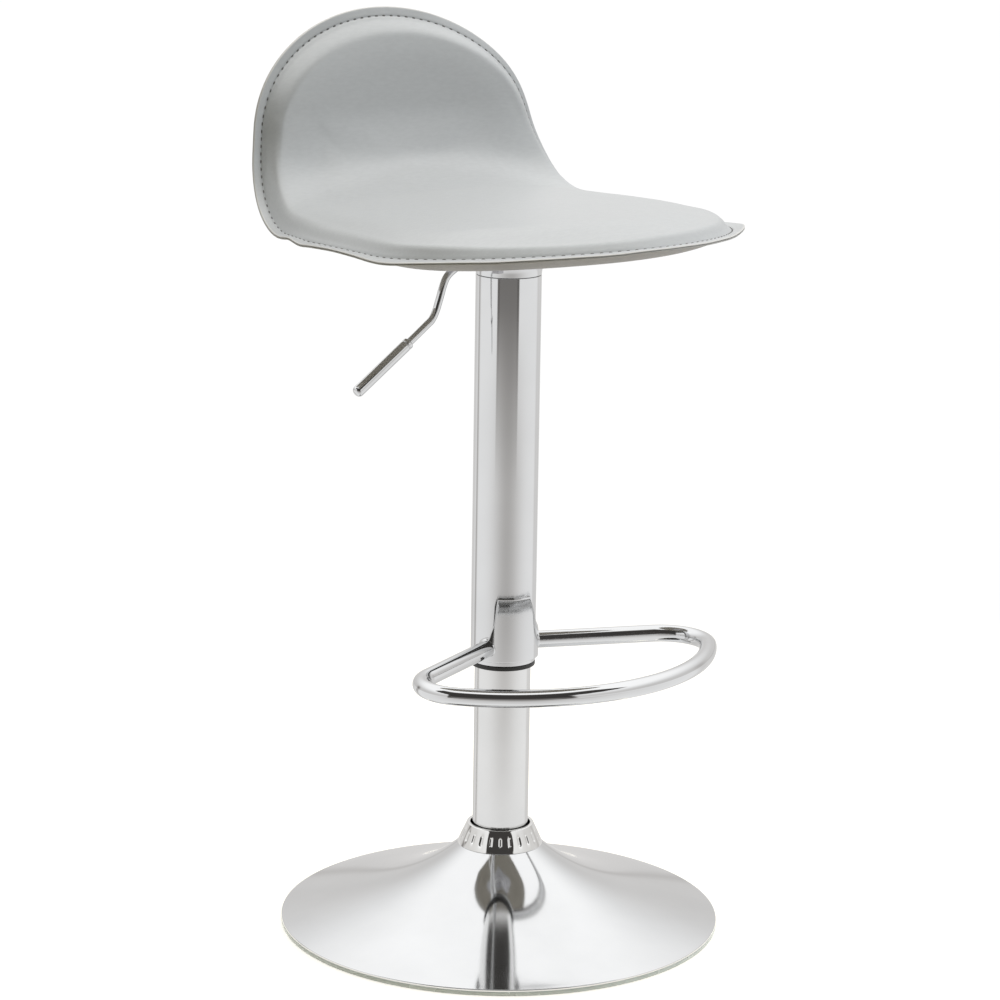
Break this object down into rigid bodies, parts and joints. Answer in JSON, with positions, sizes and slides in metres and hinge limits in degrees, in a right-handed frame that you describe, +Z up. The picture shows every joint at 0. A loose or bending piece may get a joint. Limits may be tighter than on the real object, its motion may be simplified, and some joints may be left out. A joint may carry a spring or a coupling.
{
  "type": "swivel bar stool",
  "caption": "Gas-lift bar stool with a trumpet base, chromed column, bowed foot-rest, lift lever and a padded one-piece seat with a low back.",
  "frame": {"origin": "on the floor, on the axis of the column", "axes": "+Z up along the column, -Y the way the sitter faces, -X the sitter's right, where the lever is"},
  "size_m": [0.41, 0.4249, 0.8401],
  "materials": {
    "chrome": "mirror-bright plating",
    "chrome_plastic": "bright plated plastic",
    "satin_steel": "satin grey tube",
    "steel": "plain zinc-plated steel",
    "black_steel": "black enamel",
    "brass": "machined",
    "black_plastic": "moulded, matte",
    "clear_plastic": "translucent, slightly green",
    "rubber": "matte",
    "core": "moulded plywood, raw",
    "leatherette": "satin silver-grey leatherette"
  },
  "bodies": {
    "base": {"floor_ring": "clear_plastic", "base_shell": "chrome", "ballast_disc": "steel", "base_socket": "steel", "trim_collar": "chrome_plastic", "outer_tube": "satin_steel", "tube_floor": "steel", "guide_bush": "black_plastic", "thrust_washer_lower": "steel"},
    "bearing": {"bearing_cage": "black_plastic", "bearing_ball_1": "steel", "bearing_ball_2": "steel", "bearing_ball_3": "steel", "bearing_ball_4": "steel", "bearing_ball_5": "steel", "bearing_ball_6": "steel"},
    "rod": {"thrust_washer_upper": "steel", "rod_spacer": "black_plastic", "rubber_bumper": "rubber", "piston_rod": "steel", "piston": "steel", "piston_seal": "rubber", "piston_nut": "steel", "lock_washer": "steel", "retaining_clip": "steel"},
    "carriage": {"gas_cylinder": "black_steel", "rod_gland": "brass", "rod_seal": "rubber", "valve_body": "brass", "plate_hub": "steel", "seat_plate": "steel", "sleeve_cap": "chrome", "sleeve": "chrome", "sleeve_bush": "black_plastic", "footrest_saddle": "chrome", "footrest_ring": "chrome", "lever_ear_1": "steel", "lever_ear_2": "steel", "lever_pin": "steel", "seat_bolt_1": "steel", "seat_bolt_2": "steel", "seat_bolt_3": "steel", "seat_bolt_4": "steel", "spring_washer_1": "steel", "spring_washer_2": "steel", "spring_washer_3": "steel", "spring_washer_4": "steel", "tee_nut_1": "steel", "tee_nut_2": "steel", "tee_nut_3": "steel", "tee_nut_4": "steel", "seat_core": "core", "seat_pad": "leatherette", "under_cover": "leatherette"},
    "lever": {"lever_rod": "chrome", "lever_grip": "chrome"},
    "pin": {"release_pin": "steel"}
  },
  "joints": [
    {"name": "swivel", "type": "hinge", "parent": "base", "child": "rod", "pos_m": [0, 0, 0.033], "axis": [0, 0, 1], "continuous": true},
    {"name": "bearing_turn", "type": "hinge", "parent": "base", "child": "bearing", "pos_m": [0, 0, 0.029], "axis": [0, 0, 1], "continuous": true},
    {"name": "height", "type": "slide", "parent": "rod", "child": "carriage", "axis": [0, 0, 1], "range_m": [0, 0.21]},
    {"name": "lever_lift", "type": "hinge", "parent": "carriage", "child": "lever", "pos_m": [-0.022, 0, 0.6325], "axis": [0, 1, 0], "range_deg": [0, 8], "stiffness_Nm_per_rad": 1, "springref_deg": -8.59},
    {"name": "pin_press", "type": "slide", "parent": "carriage", "child": "pin", "axis": [0, 0, -1], "range_m": [0, 0.0035]}
  ],
  "couplings": [
    {"joint": "bearing_turn", "follows": "swivel", "ratio": 0.5},
    {"joint": "pin_press", "follows": "lever_lift", "m_per_rad": 0.0245}
  ]
}
